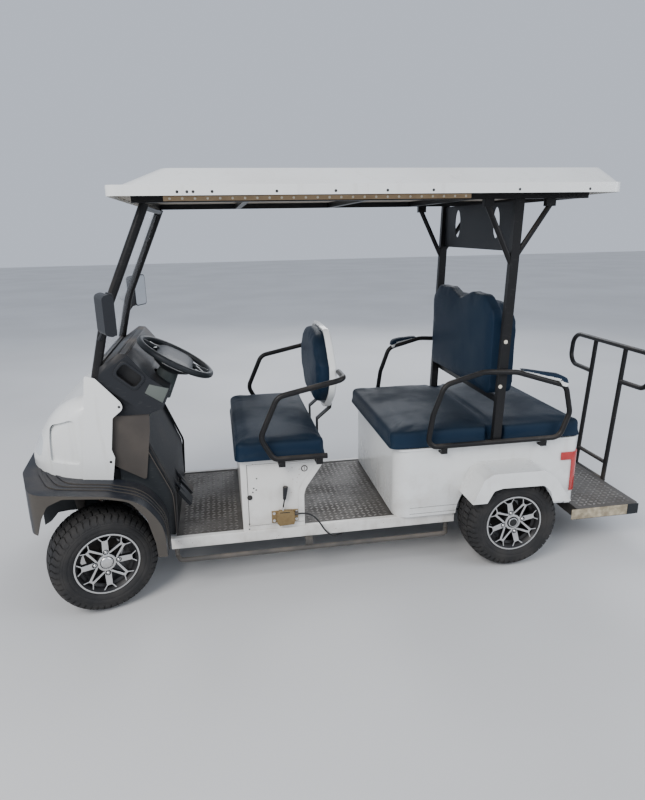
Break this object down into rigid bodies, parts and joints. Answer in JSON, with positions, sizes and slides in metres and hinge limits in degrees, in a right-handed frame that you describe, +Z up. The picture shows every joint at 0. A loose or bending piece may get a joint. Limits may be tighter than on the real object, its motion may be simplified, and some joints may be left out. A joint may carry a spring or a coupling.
{
  "type": "golf cart",
  "caption": "Electric golf cart with a long roof, windscreen, front bench, back-to-back rear benches, rear step and grab rail; it rolls and steers.",
  "frame": {"origin": "on the ground under the middle of the whole cart", "axes": "+X forwards, +Y to the cart's left, +Z up"},
  "size_m": [3.0439, 1.23, 1.831],
  "materials": {
    "tyre_rubber": "worn road tread",
    "alloy": "machined faces with dark pockets",
    "white_body": "gloss white with dust and rust specks",
    "white_metal": "white paint, chipped edges",
    "black_plastic": "grained black moulding",
    "wheel_grip": "soft black moulding",
    "black_metal": "satin black powder coat",
    "axle_metal": "dusty black castings",
    "spring_steel": "grey paint with rust",
    "tread_plate": "five-bar tread, scuffed",
    "navy_vinyl": "grained vinyl with piping",
    "clear_glass": "clear",
    "lamp_lens": "clear ribbed lens over a reflector",
    "red_lens": "ribbed red lens",
    "liner": "beige moulding",
    "battery_case": "plain",
    "cable_jacket": "satin black jacket"
  },
  "bodies": {
    "cart_body": {"nose_cowl": "white_body", "cowl_sides": "white_body", "roof_shell": "white_body", "front_back_shell": "white_body", "rear_body": "white_body", "front_seat_box": "white_metal", "door_sills": "white_metal", "front_moulding": "black_plastic", "wheel_flares": "black_plastic", "dashboard": "black_plastic", "leg_shield": "black_plastic", "mirrors": "black_plastic", "upper_rear_panel": "black_plastic", "pedals": "black_plastic", "steering_column": "black_plastic", "chassis_frame": "black_metal", "step_bars": "black_metal", "windscreen_frame": "black_metal", "roof_frame": "black_metal", "front_armrests": "black_metal", "rear_arm_loops": "black_metal", "rear_posts": "black_metal", "grab_rail": "black_metal", "hand_lever": "black_metal", "front_axle": "axle_metal", "rear_axle": "axle_metal", "suspension": "spring_steel", "floor_deck": "tread_plate", "rear_platform": "tread_plate", "front_cushion": "navy_vinyl", "front_backrest": "navy_vinyl", "rear_cushions": "navy_vinyl", "rear_backrests": "navy_vinyl", "arm_pads": "navy_vinyl", "windscreen_glass": "clear_glass", "headlamps": "lamp_lens", "tail_lamps": "red_lens", "roof_liner": "liner", "battery_block": "battery_case", "lever_cable": "cable_jacket"},
    "knuckle_left": {"knuckle_left": "axle_metal"},
    "knuckle_right": {"knuckle_right": "axle_metal"},
    "tie_rod": {"tie_rod": "axle_metal"},
    "steering_wheel": {"steering_wheel": "wheel_grip"},
    "wheel_front_left": {"tyre_front_left": "tyre_rubber", "rim_front_left": "alloy"},
    "wheel_front_right": {"tyre_front_right": "tyre_rubber", "rim_front_right": "alloy"},
    "wheel_rear_left": {"tyre_rear_left": "tyre_rubber", "rim_rear_left": "alloy"},
    "wheel_rear_right": {"tyre_rear_right": "tyre_rubber", "rim_rear_right": "alloy"}
  },
  "joints": [
    {"name": "steer_left", "type": "hinge", "parent": "cart_body", "child": "knuckle_left", "pos_m": [1.21015, 0.375, 0.23], "axis": [0, 0, 1], "range_deg": [-48, 8]},
    {"name": "steer_right", "type": "hinge", "parent": "cart_body", "child": "knuckle_right", "pos_m": [1.21015, -0.375, 0.23], "axis": [0, 0, 1], "range_deg": [-48, 8]},
    {"name": "tie_rod_pivot", "type": "hinge", "parent": "knuckle_left", "child": "tie_rod", "pos_m": [1.12849, 0.30697, 0.199], "axis": [0, 0, 1], "range_deg": [-9, 53]},
    {"name": "steering_wheel_turn", "type": "hinge", "parent": "cart_body", "child": "steering_wheel", "pos_m": [0.81715, 0.2, 1.054], "axis": [-0.5, 0, 0.866], "range_deg": [-576, 96]},
    {"name": "roll_front_left", "type": "hinge", "parent": "knuckle_left", "child": "wheel_front_left", "pos_m": [1.18108, 0.45487, 0.23], "axis": [-0.342, 0.9397, 0], "continuous": true},
    {"name": "roll_front_right", "type": "hinge", "parent": "knuckle_right", "child": "wheel_front_right", "pos_m": [1.23922, -0.45487, 0.23], "axis": [-0.342, 0.9397, 0], "continuous": true},
    {"name": "roll_rear_left", "type": "hinge", "parent": "cart_body", "child": "wheel_rear_left", "pos_m": [-0.71585, 0.46, 0.23], "axis": [0, 1, 0], "continuous": true},
    {"name": "roll_rear_right", "type": "hinge", "parent": "cart_body", "child": "wheel_rear_right", "pos_m": [-0.71585, -0.46, 0.23], "axis": [0, 1, 0], "continuous": true}
  ],
  "couplings": [
    {"joint": "steer_right", "follows": "steer_left", "ratio": 1},
    {"joint": "tie_rod_pivot", "follows": "steer_left", "ratio": -1.101},
    {"joint": "steering_wheel_turn", "follows": "steer_left", "ratio": 12}
  ]
}
